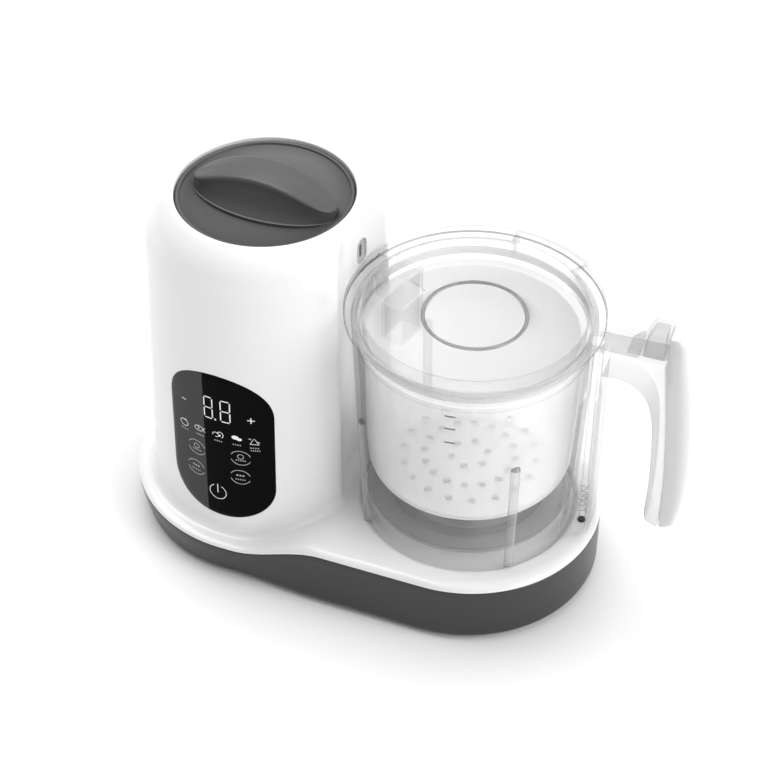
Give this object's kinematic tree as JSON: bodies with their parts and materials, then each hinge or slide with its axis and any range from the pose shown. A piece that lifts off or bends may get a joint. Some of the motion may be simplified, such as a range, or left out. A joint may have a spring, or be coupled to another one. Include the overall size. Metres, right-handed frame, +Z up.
{
  "type": "baby food maker",
  "caption": "Countertop steamer and blender for baby food: white water tower with a black touch panel and a clear lidded jug on one low grey base.",
  "frame": {"origin": "on the table plane, under the centre of the bounding box", "axes": "+X from the water tower towards the jug and its handle, -Y towards the control panel's front, +Z up"},
  "size_m": [0.2816, 0.1398, 0.199],
  "materials": {
    "white_housing": "glossy white ABS",
    "dark_grey": "satin dark grey ABS",
    "grey_cap": "satin grey ABS",
    "under_plate": "matt grey ABS",
    "black_panel": "glossy black acrylic",
    "clear": "clear copolyester",
    "frosted": "frosted polypropylene",
    "steel": "brushed stainless steel",
    "aluminium": "cast aluminium",
    "rubber": "matt rubber",
    "silicone": "white silicone",
    "circuit_board": "green laminate",
    "inner_plastic": "grey nylon"
  },
  "bodies": {
    "base": {"upper_housing": "white_housing", "base_skirt": "dark_grey", "bottom_plate": "under_plate", "foot_1": "rubber", "foot_2": "rubber", "foot_3": "rubber", "foot_4": "rubber", "base_screw_1": "steel", "base_screw_2": "steel", "base_screw_3": "steel", "base_screw_4": "steel", "cord_gland": "rubber", "control_panel": "black_panel", "display_board": "circuit_board", "power_board": "circuit_board", "motor_housing": "steel", "motor_bracket": "steel", "motor_damper_1": "rubber", "motor_damper_2": "rubber", "motor_damper_3": "rubber", "motor_damper_4": "rubber", "drive_belt": "rubber", "bearing_housing": "inner_plastic", "water_tank": "frosted", "boiler": "aluminium", "boiler_stand": "inner_plastic", "water_hose": "silicone", "steam_tube": "silicone", "steam_nozzle": "silicone", "thermostat": "inner_plastic", "switch_body": "inner_plastic"},
    "motor_shaft": {"motor_rotor": "steel", "cooling_fan": "inner_plastic"},
    "drive_spindle": {"spindle": "steel", "drive_coupling": "inner_plastic"},
    "jug": {"jug_body": "clear", "handle_shell": "white_housing", "interlock_spring": "steel", "blade_bush": "steel", "blade_seal": "silicone"},
    "blades": {"blade_shaft": "steel", "blade_hub": "inner_plastic", "blade_lower": "steel", "blade_upper": "steel", "blade_nut": "steel", "driven_coupling": "inner_plastic"},
    "lid_rod": {"interlock_rod": "clear"},
    "safety_plunger": {"switch_plunger": "rubber"},
    "basket": {"steam_basket": "frosted"},
    "seal": {"lid_seal": "silicone"},
    "jug_lid": {"lid": "clear"},
    "cap_gasket": {"cap_seal": "silicone"},
    "tank_cap": {"cap_body": "grey_cap"}
  },
  "joints": [
    {"name": "motor_spin", "type": "hinge", "parent": "base", "child": "motor_shaft", "pos_m": [-0.05285, 0.012, 0.04], "axis": [0, 0, 1], "continuous": true},
    {"name": "spindle_spin", "type": "hinge", "parent": "base", "child": "drive_spindle", "pos_m": [0.03365, 0, 0.02], "axis": [0, 0, 1], "continuous": true},
    {"name": "jug_lift", "type": "slide", "parent": "base", "child": "jug", "axis": [0, 0, 1], "range_m": [0, 0.22]},
    {"name": "blade_spin", "type": "hinge", "parent": "jug", "child": "blades", "pos_m": [0.03365, 0, 0.05], "axis": [0, 0, 1], "continuous": true},
    {"name": "rod_travel", "type": "slide", "parent": "jug", "child": "lid_rod", "axis": [0, 0, 1], "range_m": [0, 0.003], "stiffness_N_per_m": 300, "deforming": ["interlock_spring"]},
    {"name": "plunger_travel", "type": "slide", "parent": "base", "child": "safety_plunger", "axis": [0, 0, -1], "range_m": [0, 0.0015], "stiffness_N_per_m": 300},
    {"name": "basket_lift", "type": "slide", "parent": "jug", "child": "basket", "axis": [0, 0, 1], "range_m": [0, 0.13]},
    {"name": "lid_lift", "type": "slide", "parent": "basket", "child": "seal", "axis": [0, 0, 1], "range_m": [0, 0.06]},
    {"name": "lid_turn", "type": "hinge", "parent": "seal", "child": "jug_lid", "pos_m": [0.03365, 0, 0.15], "axis": [0, 0, 1], "range_deg": [0, 30]},
    {"name": "cap_lift", "type": "slide", "parent": "base", "child": "cap_gasket", "axis": [0, 0, 1], "range_m": [0, 0.045]},
    {"name": "cap_turn", "type": "hinge", "parent": "cap_gasket", "child": "tank_cap", "pos_m": [-0.07085, 0, 0.18], "axis": [0, 0, 1], "range_deg": [0, 90]}
  ],
  "couplings": [
    {"joint": "spindle_spin", "follows": "motor_spin", "ratio": 0.44444},
    {"joint": "blade_spin", "follows": "motor_spin", "ratio": 0.44444}
  ]
}
